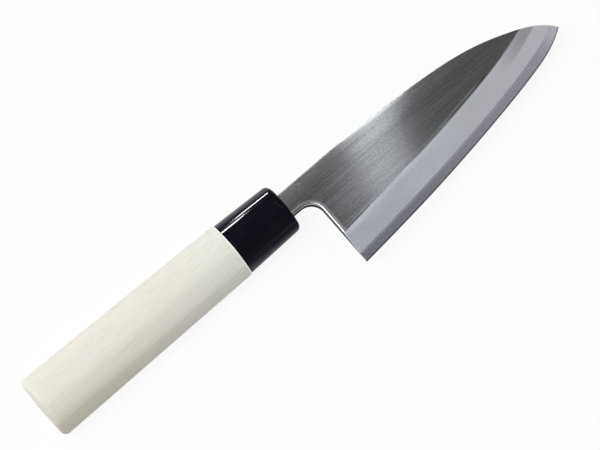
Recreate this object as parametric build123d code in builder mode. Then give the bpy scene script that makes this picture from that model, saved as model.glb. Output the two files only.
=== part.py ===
from build123d import *

import os
from math import cos, radians, sin

# A small deba: a right-handed, single-bevel knife for boning fish. The blade is forge-welded from
# a soft-iron body and a hard-steel layer on its back, and its tang is bedded in a D-shaped wooden
# handle behind a plastic ferrule.
#
# Frame, in millimetres: +X runs along the handle towards the tip, +Y towards the spine, and +Z
# towards the bevelled face. The origin is the centre of the ferrule's front face, and the blade's
# thickness at the heel is centred on Z = 0.

# ---- Blade ----
blade_length = 118.2  # heel to tip, along X
heel_gap = 10.2  # ferrule to the heel's straight edge
heel_drop = 37.3  # heel corner below the handle's axis
tip_drop = 15.5  # tip below the handle's axis
spine_height = 4.9  # straight part of the spine above the handle's axis
spine_run = 30.7  # ferrule to where the spine starts to fall
tip_slope = 52.0  # fall of the spine at the tip, in degrees
neck_height = 9.9
neck_drop = 0.5  # middle of the neck below the handle's axis
heel_radius = 6.1  # hollow corner between the neck and the heel
blade_thickness = 4.8  # at the neck and the heel
tip_thickness = 2.0
bevel_width = 13.8  # edge to the bevel's upper line, at the heel
tip_bevel_width = 14.6  # the same at the tip, where that line has run out past the spine
edge_land = 0.25  # thickness left at the cutting edge

# ---- Hard-steel layer on the back ----
steel_at_heel = 1.6
steel_at_tip = 0.75
steel_reach = 7.0  # how far it runs into the neck, past the heel
hollow_depth = 0.4  # hollow grinding of the back
hollow_rim = 2.4  # flat rim left round the hollow
hollow_heel_rim = 3.6
hollow_tip_rim = 8.0

# ---- Tang ----
tang_length = 88.3
tang_end_height = 5.0
tang_end_thickness = 3.0

# ---- Handle ----
wood_length = 96.1
rear_height = 27.0
rear_thickness = 19.6
ferrule_length = 26.3
ferrule_rear_height = 23.1
ferrule_rear_thickness = 17.0
ferrule_front_height = 21.2
ferrule_front_thickness = 15.5
ferrule_wall = 2.2
ferrule_front_wall = 3.0
ferrule_round = 2.4
wood_step = 0.35  # how far the wood stands proud of the ferrule
wood_edge = 0.3
butt_round = 2.2
butt_crown = 0.8

# ---- Clearances ----
tenon_fit = 0.05
bore_fit = 0.1
slot_fit = 0.6  # filled by the mouth seal
seal_depth = 2.0

# ---- Shape of the blade's curves ----
# Rows are (share of the blade's length, share of the drop from the spine to the tip), up to
# the tip itself.
spine_shape = [(0.536, 0.081), (0.74, 0.25), (0.873, 0.505), (0.973, 0.83)]
# Rows are (share of the blade's length, rise of the edge, rise of the bevel's upper line), the
# rises as shares of the whole rise from the heel to the tip. The first row lies behind the heel.
bevel_shape = [
    (-0.1, -0.05, -0.053),
    (0.0, 0.0, 0.0),
    (0.35, 0.203, 0.216),
    (0.65, 0.452, 0.453),
    (0.85, 0.67, 0.701),
    (0.95, 0.848, 0.892),
]

# Rows are (share of the hollow's length, share of its full depth).
hollow_shape = [(0.0, 0.15), (0.1, 0.8), (0.35, 1.0), (0.65, 0.8), (0.85, 0.45), (1.0, 0.12)]

# ---- Shape of the handle's D section ----
# Y places are shares of the half height, and Z places are shares of the half thickness.
crown_y = -0.04  # highest line of the right side
palm_y = 0.16  # lowest line of the left side
spine_z = -0.1  # outermost line towards the spine
ridge_y, ridge_z = -0.72, 0.44
foot_z = -0.36  # outermost line towards the edge
shoulder_slope = 43.0  # slope of the right side where it reaches the ridge
flat_slope = 57.0  # slope of the flat just below the ridge

margin = 6.0  # cutting tools reach this far past the blade
overshoot = 1.3  # the bevel's tool stands this much taller than the bevel

neck_top = neck_height / 2 - neck_drop
neck_foot = neck_top - neck_height
heel_x = heel_gap
tip_x = heel_x + blade_length
back = -blade_thickness / 2
joint_x = -ferrule_length
butt_x = joint_x - wood_length


def blade_place(share):
    """X at this share of the blade's length, counted from the heel."""
    return heel_x + share * blade_length


def edge_height(rise):
    """Y at this share of the edge's rise from the heel to the tip."""
    return -heel_drop + rise * (heel_drop - tip_drop)


def thickness_at(x):
    """Thickness under the flat face, which thins evenly from the heel to the tip."""
    return blade_thickness - (blade_thickness - tip_thickness) * (x - heel_x) / blade_length


def steel_at(x):
    """Thickness of the hard layer, which thins evenly from the heel to the tip."""
    return steel_at_heel - (steel_at_heel - steel_at_tip) * (x - heel_x) / blade_length


def spine_line():
    """The falling part of the spine, from its straight part to the tip."""
    points = [Vector(spine_run, spine_height)]
    for share, drop in spine_shape:
        points.append(Vector(blade_place(share), spine_height - drop * (spine_height + tip_drop)))
    points.append(Vector(tip_x, -tip_drop))
    fall = Vector(cos(radians(tip_slope)), -sin(radians(tip_slope)))
    return Edge.make_spline(points, tangents=[Vector(1, 0), fall])


def edge_line():
    """The cutting edge, from behind the heel to the tip."""
    points = [Vector(blade_place(share), edge_height(rise)) for share, rise, _ in bevel_shape]
    points.append(Vector(tip_x, -tip_drop))
    return Edge.make_spline(points)


spine_curve = spine_line()
edge_curve = edge_line()


def height_on(curve, x):
    """Y of the curve where it crosses x."""
    return curve.find_intersection_points(Axis((x, 0, 0), (0, 1, 0)))[0].Y


def blade_outline():
    """Side view from the ferrule to the tip, with the notch behind the heel."""
    with BuildSketch() as outline:
        with BuildLine():
            add([spine_curve, edge_curve])
            Polyline(edge_curve @ 0, (0, neck_foot), (0, neck_top), spine_curve @ 0)
        make_face()
        with BuildSketch(mode=Mode.PRIVATE) as notch:
            with Locations((heel_x, neck_foot)):
                Rectangle(2 * heel_drop, 2 * heel_drop, align=(Align.MAX, Align.MAX))
            inner_corner = notch.vertices().group_by(Axis.X)[-1].sort_by(Axis.Y)[-1]
            fillet(inner_corner, radius=heel_radius)
        add(notch.sketch, mode=Mode.SUBTRACT)
    return outline.sketch


def side_profile(points):
    """A closed outline of (x, z) points, to be extruded across the blade."""
    with BuildSketch(Plane.XZ) as profile:
        with BuildLine():
            Polyline(*points, close=True)
        make_face()
    return profile.sketch


def bevel_level(share):
    """Outline of the room outside the bevel, at this share of the bevel's height."""

    def level_point(x, y):
        return (x, y, back + edge_land + share * (thickness_at(x) - edge_land))

    line = []
    top_rise = heel_drop - tip_drop + tip_bevel_width - bevel_width
    for place, edge_share, top_share in bevel_shape:
        low = edge_height(edge_share)
        high = -heel_drop + bevel_width + top_share * top_rise
        line.append(level_point(blade_place(place), low + share * (high - low)))
    line.append(level_point(tip_x, -tip_drop + share * tip_bevel_width))
    first, last = line[0], line[-1]
    floor = -heel_drop - margin
    with BuildLine() as outline:
        Spline(line)
        Polyline(
            last,
            level_point(tip_x + margin, last[1] + margin),
            level_point(tip_x + margin, floor),
            level_point(first[0], floor),
            first,
        )
    return Face(outline.wire())


def hollow_section(place, depth_share):
    """Cross-section of the hollow in the back, at this share of the hollow's length."""
    start = heel_x + hollow_heel_rim
    x = start + place * (tip_x - hollow_tip_rim - start)
    low = height_on(edge_curve, x) + hollow_rim
    high = height_on(spine_curve, max(x, spine_run)) - hollow_rim
    deepest = ((low + high) / 2, back + hollow_depth * depth_share)
    with BuildSketch(Plane.YZ.offset(x)) as section:
        with BuildLine():
            ThreePointArc((low, back), deepest, (high, back))
            Polyline((high, back), (high, back - margin), (low, back - margin), (low, back))
        make_face()
    return section.sketch


def falling(slope):
    """The direction that falls by this slope on the way towards the edge side."""
    return (-cos(radians(slope)), -sin(radians(slope)))


def d_section(height, thickness):
    """The handle's D outline: an oval with a flat below a ridge on the right side."""
    a = height / 2
    b = thickness / 2
    ridge = (ridge_y * a, ridge_z * b)
    with BuildSketch() as section:
        with BuildLine():
            EllipticalCenterArc((crown_y * a, spine_z * b), (1 - crown_y) * a, (1 - spine_z) * b)
            Spline((crown_y * a, b), ridge, tangents=[(-1, 0), falling(shoulder_slope)])
            Spline(ridge, (-a, foot_z * b), tangents=[falling(flat_slope), (0, -1)])
            EllipticalCenterArc((palm_y * a, foot_z * b), (1 + palm_y) * a, (1 + foot_z) * b, 180)
            EllipticalCenterArc((palm_y * a, spine_z * b), (1 - palm_y) * a, (1 + spine_z) * b, 270)
        make_face()
    return section.sketch


def taper(x_from, section_from, x_to, section_to):
    """A straight taper between two sections, each square to the handle's axis."""
    with BuildPart() as body:
        with BuildSketch(Plane.YZ.offset(x_from)):
            add(section_from)
        with BuildSketch(Plane.YZ.offset(x_to)):
            add(section_to)
        loft(ruled=True)
    return body.part


def bar_section(height, thickness, fit, drop=0):
    """A rectangular section, with a fit all round and its middle this far below the axis."""
    with BuildSketch() as section:
        with Locations((-drop, 0)):
            Rectangle(height + 2 * fit, thickness + 2 * fit)
    return section.sketch


def tang_shape(fit):
    """The tang, or with a fit round it, the bore that holds it."""
    return taper(
        -tang_length - fit, bar_section(tang_end_height, tang_end_thickness, fit),
        0, bar_section(neck_height, blade_thickness, fit, neck_drop),
    )


def ferrule_section(x, inset):
    """The ferrule's D section at x, shrunk by an inset all round."""
    share = -x / ferrule_length
    height = ferrule_front_height + share * (ferrule_rear_height - ferrule_front_height)
    thickness = ferrule_front_thickness + share * (ferrule_rear_thickness - ferrule_front_thickness)
    return d_section(height - 2 * inset, thickness - 2 * inset)


# The whole blade: its outline, thinned towards the tip, bevelled on the right side only, and
# hollow ground on the back.
with BuildPart() as whole_blade:
    add(blade_outline())
    extrude(amount=2 * blade_thickness, both=True)
    extrude(
        side_profile([
            (-margin, back),
            (tip_x + margin, back),
            (tip_x + margin, back + thickness_at(tip_x + margin)),
            (heel_x, -back),
            (-margin, -back),
        ]),
        amount=2 * heel_drop, both=True, mode=Mode.INTERSECT,
    )
    loft([bevel_level(0), bevel_level(overshoot)], ruled=True, mode=Mode.SUBTRACT)
    loft([hollow_section(*row) for row in hollow_shape], mode=Mode.SUBTRACT)

# The room that the hard layer takes, from the back up to the weld.
with BuildPart() as steel_room:
    weld_start = heel_x - steel_reach
    weld_end = tip_x + margin
    extrude(
        side_profile([
            (weld_start, back - margin),
            (weld_end, back - margin),
            (weld_end, back + steel_at(weld_end)),
            (weld_start, back + steel_at(weld_start)),
        ]),
        amount=2 * heel_drop, both=True,
    )

with BuildPart() as edge_steel:
    add(whole_blade.part)
    add(steel_room.part, mode=Mode.INTERSECT)

with BuildPart() as blade_iron:
    add(whole_blade.part)
    add(steel_room.part, mode=Mode.SUBTRACT)
    add(tang_shape(0))

with BuildPart() as ferrule:
    add(taper(joint_x, ferrule_section(joint_x, 0), 0, ferrule_section(0, 0)))
    fillet(ferrule.faces().sort_by(Axis.X)[-1].edges(), radius=ferrule_round)
    tenon_end = -ferrule_front_wall
    add(
        taper(joint_x, ferrule_section(joint_x, ferrule_wall),
              tenon_end, ferrule_section(tenon_end, ferrule_wall)),
        mode=Mode.SUBTRACT,
    )
    with BuildSketch(Plane.YZ):
        add(bar_section(neck_height, blade_thickness, slot_fit, neck_drop))
    extrude(amount=-ferrule_length, mode=Mode.SUBTRACT)

with BuildPart() as handle_wood:
    wood_front = d_section(ferrule_rear_height + 2 * wood_step, ferrule_rear_thickness + 2 * wood_step)
    add(taper(butt_x, d_section(rear_height, rear_thickness), joint_x, wood_front))
    crown_radius = (rear_height ** 2 / 4 + butt_crown ** 2) / (2 * butt_crown)
    with Locations((butt_x + crown_radius, 0, 0)):
        Sphere(crown_radius, mode=Mode.INTERSECT)
    fillet(handle_wood.faces().sort_by(Axis.X)[0].edges(), radius=butt_round)
    chamfer(handle_wood.faces().sort_by(Axis.X)[-1].edges(), length=wood_edge)
    inset = ferrule_wall + tenon_fit
    add(taper(joint_x, ferrule_section(joint_x, inset),
              tenon_end - tenon_fit, ferrule_section(tenon_end - tenon_fit, inset)))
    add(tang_shape(bore_fit), mode=Mode.SUBTRACT)

with BuildPart() as mouth_seal:
    with BuildSketch(Plane.YZ):
        add(bar_section(neck_height, blade_thickness, slot_fit, neck_drop))
    extrude(amount=-seal_depth)
    add(tang_shape(0), mode=Mode.SUBTRACT)

os.makedirs("parts", exist_ok=True)
for name, piece in [
    ("blade_iron", blade_iron.part),
    ("edge_steel", edge_steel.part),
    ("ferrule", ferrule.part),
    ("handle_wood", handle_wood.part),
    ("mouth_seal", mouth_seal.part),
]:
    piece.label = name
    export_step(piece, f"parts/{name}.step")
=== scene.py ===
from functools import reduce
from math import cos, radians, sin

import bmesh
import bpy
import numpy as np
from bpy.props import FloatProperty, FloatVectorProperty, PointerProperty
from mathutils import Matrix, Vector


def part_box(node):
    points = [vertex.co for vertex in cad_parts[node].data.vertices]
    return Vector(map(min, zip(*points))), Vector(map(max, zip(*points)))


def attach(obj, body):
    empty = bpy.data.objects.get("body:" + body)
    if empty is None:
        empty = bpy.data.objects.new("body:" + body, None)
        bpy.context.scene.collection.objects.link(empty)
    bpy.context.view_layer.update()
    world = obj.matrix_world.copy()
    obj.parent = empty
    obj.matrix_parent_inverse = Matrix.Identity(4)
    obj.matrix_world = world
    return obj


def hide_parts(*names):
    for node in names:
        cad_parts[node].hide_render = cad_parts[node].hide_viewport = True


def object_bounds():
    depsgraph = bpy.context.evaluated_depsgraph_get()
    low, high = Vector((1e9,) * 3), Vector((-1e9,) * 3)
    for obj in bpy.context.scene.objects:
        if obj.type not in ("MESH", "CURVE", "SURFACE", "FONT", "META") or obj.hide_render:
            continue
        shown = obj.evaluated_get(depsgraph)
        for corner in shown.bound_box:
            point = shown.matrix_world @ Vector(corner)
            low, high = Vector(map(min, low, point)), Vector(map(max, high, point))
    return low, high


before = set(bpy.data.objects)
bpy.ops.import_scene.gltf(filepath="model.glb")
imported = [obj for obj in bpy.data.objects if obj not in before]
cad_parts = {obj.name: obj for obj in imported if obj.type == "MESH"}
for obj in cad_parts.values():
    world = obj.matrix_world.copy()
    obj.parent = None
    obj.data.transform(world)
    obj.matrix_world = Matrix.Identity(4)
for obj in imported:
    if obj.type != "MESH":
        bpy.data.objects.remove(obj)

bl_info = {
    "name": "Deba Knife",
    "version": (1, 0, 0),
    "blender": (4, 5, 0),
    "location": "3D View > Sidebar > Deba Knife",
    "description": "Builds the blade, ferrule and handle of a small single-bevel knife, and its studio",
    "category": "Add Mesh",
}

# The frame's solids give the main sizes. All lengths here are in metres: +X to the tip, +Y to the
# spine and +Z to the bevelled side of the blade.
CAD_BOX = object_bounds()
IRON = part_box("blade_iron")
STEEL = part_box("edge_steel")
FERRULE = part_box("ferrule")
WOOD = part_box("handle_wood")
MM = 0.001

# Rows are (share of the blade's length, share of the drop from the spine to the tip).
SPINE_SHAPE = [(0.536, 0.081), (0.74, 0.25), (0.873, 0.505), (0.973, 0.83)]
# Rows are (share of the blade's length, rise of the edge, rise of the bevel's upper line), the
# rises as shares of the whole rise from the heel to the tip. The first row lies behind the heel.
BEVEL_SHAPE = [
    (-0.1, -0.05, -0.053),
    (0.0, 0.0, 0.0),
    (0.35, 0.203, 0.216),
    (0.65, 0.452, 0.453),
    (0.85, 0.67, 0.701),
    (0.95, 0.848, 0.892),
]


def length(name, text, value):
    """A property for a length in metres."""
    return FloatProperty(name=name, description=text, default=value, unit="LENGTH", precision=5)


def angle(name, text, value):
    """A property for an angle, with its default in degrees."""
    return FloatProperty(name=name, description=text, default=radians(value), subtype="ANGLE")


def colour(name, text, value):
    """A property for a linear colour."""
    return FloatVectorProperty(name=name, description=text, default=value, subtype="COLOR", min=0, max=1)


def amount(name, text, value):
    """A property for a plain number."""
    return FloatProperty(name=name, description=text, default=value, precision=3)


# ---------------------------------------------------------------------------------- settings


class BladeSettings(bpy.types.PropertyGroup):
    """Sizes and finish of the blade."""

    heel_x: length("Heel", "Place of the heel's straight edge along the handle's axis", 10.2 * MM)
    spine_run: length("Spine run", "Place where the spine starts to fall", 30.7 * MM)
    tip_drop: length("Tip drop", "Tip below the handle's axis", 15.5 * MM)
    tip_slope: angle("Tip slope", "Fall of the spine at the tip", 52)
    neck_height: length("Neck height", "Height of the neck in front of the ferrule", 9.9 * MM)
    neck_drop: length("Neck drop", "Middle of the neck below the handle's axis", 0.5 * MM)
    heel_radius: length("Heel radius", "Hollow corner between the neck and the heel", 6.1 * MM)
    tip_thickness: length("Tip thickness", "Thickness of the blade at the tip", 2 * MM)
    bevel_width: length("Bevel width", "Width of the bevel at the heel", 13.8 * MM)
    tip_bevel_width: length("Bevel width at tip", "Width that the bevel has grown to at the tip", 14.6 * MM)
    edge_land: length("Edge land", "Thickness left at the cutting edge", 0.25 * MM)
    steel_at_heel: length("Steel at heel", "Thickness of the hard layer at the heel", 1.6 * MM)
    steel_at_tip: length("Steel at tip", "Thickness of the hard layer at the tip", 0.75 * MM)
    hollow_depth: length("Hollow depth", "Depth of the hollow ground into the back", 0.4 * MM)
    hollow_rim: length("Hollow rim", "Flat rim left round the hollow", 2.4 * MM)
    heel_rim: length("Heel rim", "Flat rim left between the hollow and the heel", 3.6 * MM)
    tip_rim: length("Tip rim", "Flat rim left between the hollow and the tip", 8 * MM)
    spine_easing: length("Spine easing", "Radius of the spine's eased corner", 0.3 * MM)
    heel_easing: length("Heel easing", "Radius of the polished corner round the heel's notch", 0.65 * MM)
    shoulder_width: length("Shoulder width", "Width of the strip that rolls over to the spine", 9 * MM)
    shoulder_drop: length("Shoulder drop", "How far that strip falls at the spine", 0.4 * MM)
    flat_colour: colour("Flat", "Colour of the brushed flat", (0.553, 0.546, 0.533))
    bevel_colour: colour("Bevel", "Colour of the ground bevel", (0.572, 0.604, 0.632))
    steel_colour: colour("Edge steel", "Colour of the hard layer", (0.39, 0.386, 0.433))


class HandleSettings(bpy.types.PropertyGroup):
    """Sizes and finish of the wooden grip and its ferrule."""

    front_height: length("Ferrule front height", "Height of the ferrule at its mouth", 21.2 * MM)
    front_thickness: length("Ferrule front thickness", "Thickness of the ferrule at its mouth", 15.5 * MM)
    ferrule_round: length("Ferrule rounding", "Radius round the ferrule's mouth", 2.4 * MM)
    ferrule_edge: length("Ferrule edge", "Softening of the ferrule's rear edge", 0.15 * MM)
    slot_depth: length("Slot depth", "Depth of the ferrule's slot for the neck", 6 * MM)
    butt_height: length("Butt height", "Height of the wood at the butt", 27 * MM)
    butt_thickness: length("Butt thickness", "Thickness of the wood at the butt", 19.6 * MM)
    wood_step: length("Wood step", "How far the wood stands proud of the ferrule", 0.35 * MM)
    wood_edge: length("Wood edge", "Softening of the wood's edge at the ferrule", 0.3 * MM)
    butt_round: length("Butt rounding", "Radius round the butt", 2.2 * MM)
    butt_crown: length("Butt crown", "Rise of the butt's domed face", 0.8 * MM)
    slot_fit: length("Slot fit", "Room between the neck and the ferrule's slot", 0.6 * MM)
    crown_line: amount("Crown line", "Place of the highest line, as a share of the half height", -0.04)
    palm_line: amount("Palm line", "Place of the lowest line, as a share of the half height", 0.16)
    spine_line: amount("Spine line", "Place of the outermost line towards the spine", -0.1)
    ridge_across: amount("Ridge across", "Place of the ridge, as a share of the half height", -0.72)
    ridge_up: amount("Ridge up", "Height of the ridge, as a share of the half thickness", 0.44)
    foot_line: amount("Foot line", "Place of the outermost line towards the edge", -0.36)
    shoulder_slope: angle("Shoulder slope", "Slope where the right side reaches the ridge", 43)
    flat_slope: angle("Flat slope", "Slope of the flat just below the ridge", 57)
    wood_colour: colour("Wood", "Colour of the magnolia wood", (0.76, 0.745, 0.665))
    grain_colour: colour("Grain", "Colour of the wood's grain lines", (0.66, 0.60, 0.49))
    plastic_colour: colour("Ferrule", "Colour of the ferrule", (0.0035, 0.0035, 0.0065))
    # Painted reflection: this colour stands for the bluish reflection along the ferrule's long edges.
    edge_reflection_colour: colour("Ferrule sheen", "Colour along the ferrule's long edges", (0.018, 0.024, 0.038))


class StudioSettings(bpy.types.PropertyGroup):
    """Camera, lamps and floor."""

    azimuth: angle("Camera azimuth", "Turn of the camera round the object", -40.58)
    elevation: angle("Camera elevation", "Height of the camera above the horizon", 79.2)
    distance: length("Camera distance", "Camera to the middle of the object", 1.22)
    lens: amount("Lens", "Focal length in millimetres", 189.4)
    zenith: amount("Overhead", "Strength of the world straight overhead", 0.13)
    horizon: amount("Horizon", "Strength of the world at the horizon", 0.25)
    floor_colour: colour("Floor", "Colour of the paper under the object", (0.9, 0.9, 0.9))


# ---------------------------------------------------------------------------------- node tools


class NodeMaker:
    """Adds nodes to a tree. An input is given as a plain value or as the socket to link from."""

    def __init__(self, tree):
        self.tree = tree
        self.tree.nodes.clear()

    def give(self, socket, value):
        if isinstance(value, bpy.types.NodeSocket):
            self.tree.links.new(value, socket)
        else:
            socket.default_value = value

    def add(self, kind, inputs=None, **settings):
        node = self.tree.nodes.new(kind)
        node.location.x = 180 * len(self.tree.nodes)
        for name, value in settings.items():
            setattr(node, name, value)
        for key, value in (inputs or {}).items():
            self.give(node.inputs[key], value)
        return node

    def made(self, kind, inputs=None, **settings):
        """The first output of a new node."""
        return self.add(kind, inputs, **settings).outputs[0]

    def math(self, operation, *values):
        return self.made("ShaderNodeMath", dict(enumerate(values)), operation=operation)

    def plus(self, *values):
        return reduce(lambda total, value: self.math("ADD", total, value), values)

    def times(self, *values):
        return reduce(lambda product, value: self.math("MULTIPLY", product, value), values)

    def minus(self, first, second):
        return self.math("SUBTRACT", first, second)

    def linear(self, value, slope, start):
        """start + slope * value"""
        return self.math("MULTIPLY_ADD", value, slope, start)

    def gain(self, share, change):
        """A factor of 1, changed by this much where share is 1."""
        return self.linear(share, change, 1.0)

    def fade(self, value, low, high, start=0.0, end=1.0):
        """Runs smoothly from start to end while value goes from low to high."""
        sockets = {"Value": value, "From Min": low, "From Max": high, "To Min": start, "To Max": end}
        return self.made("ShaderNodeMapRange", sockets, interpolation_type="SMOOTHSTEP")

    def window(self, value, low, rise, fall, high):
        """1 between rise and fall, and 0 below low and above high."""
        return self.times(self.fade(value, low, rise), self.fade(value, fall, high, 1.0, 0.0))

    def vector(self, operation, *values):
        return self.made("ShaderNodeVectorMath", dict(enumerate(values)), operation=operation)

    def scaled(self, vector, factor):
        return self.made("ShaderNodeVectorMath", {0: vector, "Scale": factor}, operation="SCALE")

    def combine(self, x=0.0, y=0.0, z=0.0):
        return self.made("ShaderNodeCombineXYZ", {0: x, 1: y, 2: z})

    def split(self, vector):
        return self.add("ShaderNodeSeparateXYZ", {0: vector}).outputs


class Surface(NodeMaker):
    """A material's nodes, with the patterns that the finishes here are made of."""

    def __init__(self, name):
        self.material = bpy.data.materials.new(name)
        self.material.use_nodes = True
        super().__init__(self.material.node_tree)
        self.place = self.add("ShaderNodeTexCoord").outputs["Object"]
        self.x, self.y, _ = self.split(self.place)

    def noise(self, frequency, detail=3.0, roughness=0.55, seed=(0.0, 0.0, 0.0)):
        """Noise with these frequencies per metre along X, Y and Z."""
        place = self.made("ShaderNodeMapping", {"Vector": self.place, "Location": seed, "Scale": frequency})
        sockets = {"Vector": place, "Scale": 1.0, "Detail": detail, "Roughness": roughness}
        return self.add("ShaderNodeTexNoise", sockets).outputs["Fac"]

    def spread(self, noise, start=0.0, end=1.0):
        """Runs from start to end over the values that a noise mostly takes."""
        return self.fade(noise, 0.3, 0.7, start, end)

    def along(self, low, high, start=0.0, end=1.0):
        """A fade along X, its two places in millimetres."""
        return self.fade(self.x, low * MM, high * MM, start, end)

    def across(self, low, high, start=0.0, end=1.0):
        """A fade along Y, its two places in millimetres."""
        return self.fade(self.y, low * MM, high * MM, start, end)

    def stretch(self, *places):
        """A window along X, its four places in millimetres."""
        return self.window(self.x, *(place * MM for place in places))

    def bands(self):
        """Distances above the bevel's upper line and above the edge, in millimetres."""
        return self.split(self.made("ShaderNodeUVMap", uv_map="Bands"))[:2]

    def rims(self):
        """Distances inside the spine and inside the notch, in millimetres."""
        return self.split(self.made("ShaderNodeUVMap", uv_map="Rims"))[:2]

    def mix(self, share, first, second):
        """First colour where share is 0, second where it is 1."""
        node = self.add("ShaderNodeMix", data_type="RGBA")
        self.give(node.inputs[0], share)
        for socket, value in ((node.inputs[6], first), (node.inputs[7], second)):
            self.give(socket, opaque(value))
        return node.outputs[2]

    def shade(self, colour, *factors):
        """The colour made lighter or darker by these factors."""
        return reduce(self.scaled, factors, colour)

    def bump(self, height, distance, strength=1.0):
        return self.made("ShaderNodeBump", {"Height": height, "Distance": distance, "Strength": strength})

    def lean(self, slope):
        """The surface's normal, leaned by this slope along X."""
        normal = self.add("ShaderNodeNewGeometry").outputs["Normal"]
        return self.vector("NORMALIZE", self.vector("ADD", normal, self.combine(slope)))

    def finish(self, **sockets):
        """Ends the material in one Principled shader. Underscores in the names stand for spaces."""
        named = {name.replace("_", " "): value for name, value in sockets.items()}
        for name in named:
            if name.endswith(("Color", "Tint")):
                named[name] = opaque(named[name])
        shader = self.made("ShaderNodeBsdfPrincipled", named)
        self.add("ShaderNodeOutputMaterial", {"Surface": shader})
        return self.material


def opaque(colour):
    """A plain colour with its alpha. A socket stays as it is."""
    return colour if isinstance(colour, bpy.types.NodeSocket) else (*colour[:3], 1.0)


def tinted(colour, *factors):
    """The colour with its channels scaled, all by one factor or each by its own."""
    return [min(1.0, channel * factor) for channel, factor in zip(colour, factors * 3)]


# ---------------------------------------------------------------------------------- finishes

# Places along X and Y are in millimetres, counted from the middle of the ferrule's mouth.
BAND_MIDDLE = 42.7 * MM  # where the overhead lamp's reflection crosses the flat
BAND_BOW = 0.25  # how fast the flat's slope changes along X, which sets the width of the band
BAND_TILT = -0.3  # how fast it changes along Y, which slants the band
BRUSH_DEPTH = 0.009  # slope of the single brush lines
BRUSHED_ALONG = 0.25  # turn of the brushing, as a share of a circle


def brushed_flat(blade):
    """Satin steel, brushed lengthwise, so that a lamp draws out into a band across the blade."""
    s = Surface("brushed_flat")
    streaks = s.noise((34, 1300, 1), 3.0, 0.8)
    broad = s.noise((12, 260, 1), 2.0, 0.5, (3.1, 7.7, 0.0))
    speckle = s.noise((1100, 1400, 1), 1.0, 0.5, (0.7, 0.2, 0.0))
    tone = s.linear(streaks, 0.5, s.linear(broad, 0.2, s.times(speckle, 0.3)))
    from_line, _ = s.bands()
    from_spine, from_notch = s.rims()
    # Along its middle the spine's edge is worn smooth, which softens the brush lines, and a painted highlight
    # lightens its colour there as a glare.
    wear_and_glare = s.times(s.fade(from_spine, 0.2, 2.0, 1.0, 0.0), s.stretch(28, 38, 60, 68))
    # The slopes of the flat, which place the band and bend it.
    bow = s.linear(s.minus(s.x, BAND_MIDDLE), BAND_BOW, s.along(2, 13, 0.024, 0.0))
    twist = s.linear(s.y, BAND_TILT, s.across(-5, 4, 0.0012, -0.0082))
    comb = s.times(s.minus(streaks, 0.5), BRUSH_DEPTH, s.gain(wear_and_glare, -1.0))
    # A painted highlight stands in for a small roll of the flat towards the bevel, brighter near the heel and
    # in the front half.
    roll_highlight_front = s.times(s.along(48, 76, 0.0, 1.9), s.along(84, 92, 1.0, 0.0))
    roll = s.times(s.fade(from_line, 0.5, 1.8, 1.0, 0.0), s.plus(s.along(20, 32, 1.0, 0.0), roll_highlight_front))
    # Painted shade: a dark crease line lies between that highlight and the bevel at both places.
    crease_shade_places = s.plus(s.along(22, 28, 1.0, 0.0), s.stretch(69, 73, 91, 97))
    crease_shade = s.times(s.fade(from_line, 0.25, 0.7, 1.0, 0.0), crease_shade_places)
    # Painted shade darkens the spine's corner at both ends of the blade.
    corner = s.fade(from_spine, 0.2, 0.55, 1.0, 0.0)
    spine_line = s.times(corner, s.plus(s.along(28, 36, 0.4, 0.0), s.along(60, 72, 0.0, 0.75)))
    # Painted shade: behind the lamp's band the flat is a little darker, most of all towards the spine.
    behind_band = s.times(s.along(0, 12, 0.7, 1.0), s.along(27, 36, 1.0, 0.0))
    band_shade = s.times(s.across(-8, 0, 0.1, 0.22), behind_band)
    # A painted highlight runs on for a little way over the flat from the notch's polished corner.
    heel_highlight = s.window(from_notch, 0.6, 0.95, 0.7, 2.1)
    brushed = s.fade(tone, 0.35, 0.65, s.times(wear_and_glare, 0.4), s.gain(wear_and_glare, -0.4))
    colour = s.shade(
        s.mix(brushed, tinted(blade.flat_colour, 0.8), tinted(blade.flat_colour, 1.2)),
        s.gain(roll, 0.5),
        # Painted highlight: the flat is lighter towards the spine.
        s.across(0.5, 3.8, 1.0, 1.22),
        s.gain(wear_and_glare, 0.8),
        s.gain(band_shade, -1.0),
        s.gain(crease_shade, -0.6),
        s.gain(spine_line, -1.0),
        s.gain(heel_highlight, 2.6),
    )
    # Away from the band the bare steel looks a little browner.
    browner = s.mix(s.along(64, 78), (1.0, 1.0, 1.0), (1.03, 1.0, 0.955))
    rough = s.plus(s.spread(streaks, 0.15, 0.175), s.across(-3, 3, 0.0, 0.035))
    return s.finish(
        Base_Color=s.vector("MULTIPLY", colour, browner),
        Metallic=1.0,
        Roughness=s.linear(corner, 0.3, rough),
        Anisotropic=1.0,
        Anisotropic_Rotation=BRUSHED_ALONG,
        Tangent=s.made("ShaderNodeTangent", direction_type="UV_MAP", uv_map="Brushing"),
        Normal=s.lean(s.plus(bow, twist, comb)),
    )


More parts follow.
